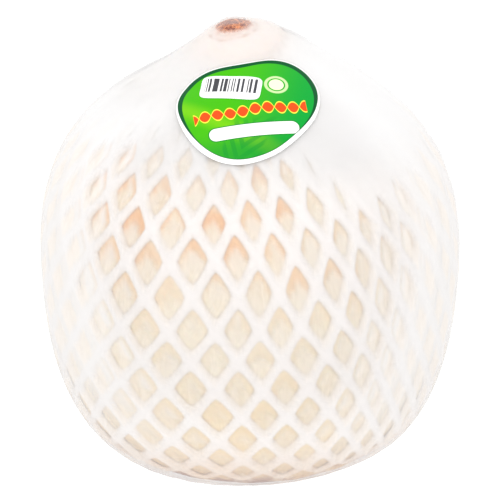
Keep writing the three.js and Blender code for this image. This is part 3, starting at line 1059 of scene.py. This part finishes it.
# A wavy row of red beads rimmed in yellow, an empty white pill, and a pale sun in a ring.
bead = ((u / BEAD_PITCH).math("FRACT") * 2.0 - 1.0).abs()
row_line = (v - (u * 0.42).sin() * 0.35 - u * 0.03 + 0.9).abs()
bead_edge = 2.05 * (1.0 - bead**2.2) - row_line
in_row = (u - 0.3).abs().step(15.4, 15.2)
ground = print_finish.blend(bead_edge.step(-0.20, 0.0) * in_row, ground, (0.900, 0.740, 0.060))
ground = print_finish.blend(bead_edge.step(0.22, 0.40) * in_row, ground, (0.800, 0.070, 0.008))
pill_edge = inside_pill(u, v, PILL_MIDDLE, (24.8, 4.7), 2.2)
ground = print_finish.blend(pill_edge, ground, (0.003, 0.200, 0.020))
pill = inside_pill(u, v, PILL_MIDDLE, (24.2, 4.1), 1.9)
ground = print_finish.blend(pill, ground, (0.870, 0.900, 0.830))
from_sun = ((u - SUN[0]) ** 2.0 + (v - SUN[1]) ** 2.0).root()
halo = from_sun.step(3.3, 3.1) * from_sun.step(2.3, 2.5) * 0.6
sun = from_sun.step(2.05, 1.9).most(halo)
ground = print_finish.blend(sun, ground, (0.850, 0.880, 0.550))

# A dark rim, and outside it the white margin that follows the die-cut edge.
ground = print_finish.blend(rim.step(0.905, 0.915), ground, (0.001, 0.080, 0.020))
margin = v.step(-12.0, 8.0, 0.920, 0.980)
ground = print_finish.blend((rim - margin).step(-0.004, 0.004), ground, (0.900, 0.900, 0.890))
print_finish.set(Base_Color=ground, Roughness=0.24, Specular_IOR_Level=0.10)
print_finish.on(label)

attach(label, "root")
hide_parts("label")

# ------------------------------------------------------------------------------------------------
# The code sticker: a small matt white paper with rounded corners and a row of plain printed bars,
# stuck on the label at another angle by the packer.

STICKER_SIZE = (16.5, 8.7)
STICKER_POWER = 6.0
STICKER_TURN = math.radians(-8.5)
STICKER_PLACE = (-4.2, -28.3)
STICKER_LIFT = 1.12
STICKER_RINGS = 12
BAR_PITCH = 0.30
BARS_UP = 0.80  # the bars' middle is this far above the paper's
SHARE_BARE = 0.44


def sticker_edge(around):
    across = abs(np.cos(around)) * 2 / STICKER_SIZE[0]
    up = abs(np.sin(around)) * 2 / STICKER_SIZE[1]
    return (across**STICKER_POWER + up**STICKER_POWER) ** (-1 / STICKER_POWER)


sticker = stuck_sheet(
    "bar_sticker", sticker_edge, STICKER_TURN, STICKER_PLACE, STICKER_LIFT, STICKER_RINGS
)

sticker_finish = Finish("bar_print")
paper = sticker_finish.node("ShaderNodeUVMap")
paper.uv_map = "paper"
u, v, _ = sticker_finish.parts(paper.outputs["UV"])

# Each bar's number gives it a fixed chance of being inked.
bar = (u / BAR_PITCH).math("FLOOR")
chance = ((bar * 12.9898).sin() * 43758.5453).math("FRACT")
inked = chance.over(SHARE_BARE)
inked = inked * u.abs().step(7.05, 7.0) * (v - BARS_UP).abs().step(2.65, 2.6)
ink = sticker_finish.blend(inked, (0.880, 0.880, 0.880), (0.020, 0.022, 0.030))
sticker_finish.set(Base_Color=ink, Roughness=0.45)
sticker_finish.on(sticker)

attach(sticker, "root")
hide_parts("code_sticker")

# ------------------------------------------------------------------------------------------------
# The studio: a lit white table under an even white light, with a large soft light above and
# another low in front, and the camera looking down a little at the label's side.

FLOOR_HALF = 3.0
TABLE_GLOW = 1.02
STUDIO_LIGHT = 1.35
CAMERA_DISTANCE = 0.65
CAMERA_ELEVATION = math.radians(23.0)
AIM = Vector((0.0, 0.0, 0.066))
FRAME_WIDTH = 0.153665  # metres across the picture at the aim
FRAME_SHIFT = -0.019
SENSOR = 36.0

floor = mesh_object(
    "floor",
    [(sx * FLOOR_HALF, sy * FLOOR_HALF, 0.0) for sx, sy in ((-1, -1), (1, -1), (1, 1), (-1, 1))],
    [(0, 1, 2, 3)],
)
table_finish = Finish("white_table")
table_finish.set(Base_Color=(0.10, 0.10, 0.10, 1.0), Roughness=0.9)
table_finish.set(Emission_Color=(1.0, 1.0, 1.0, 1.0), Emission_Strength=TABLE_GLOW)
table_finish.on(floor)

scene = bpy.context.scene
scene.view_settings.view_transform = "Standard"
world = bpy.data.worlds.new("studio")
world.use_nodes = True
background = world.node_tree.nodes["Background"]
background.inputs["Color"].default_value = (1.0, 1.0, 1.0, 1.0)
background.inputs["Strength"].default_value = STUDIO_LIGHT
scene.world = world


def softbox(name, place, aim, size, power):
    light = bpy.data.lights.new(name, "AREA")
    light.shape = "RECTANGLE"
    light.size, light.size_y = size
    light.energy = power
    made = bpy.data.objects.new(name, light)
    made.location = place
    made.rotation_euler = (Vector(aim) - Vector(place)).to_track_quat("-Z", "Y").to_euler()
    scene.collection.objects.link(made)


softbox("overhead", (-0.25, -0.45, 1.05), (0, 0, 0.05), (0.9, 0.7), 1.2)
softbox("front_fill", (0, -1.15, 0.35), (0, 0, 0.06), (0.8, 0.8), 2.6)

camera = bpy.data.objects.new("camera", bpy.data.cameras.new("camera"))
back = Vector((0.0, -math.cos(CAMERA_ELEVATION), math.sin(CAMERA_ELEVATION)))
camera.location = AIM + back * CAMERA_DISTANCE
camera.rotation_euler = (-back).to_track_quat("-Z", "Y").to_euler()
camera.data.sensor_width = SENSOR
camera.data.lens = SENSOR * CAMERA_DISTANCE / FRAME_WIDTH
camera.data.shift_y = FRAME_SHIFT
scene.collection.objects.link(camera)
scene.camera = camera
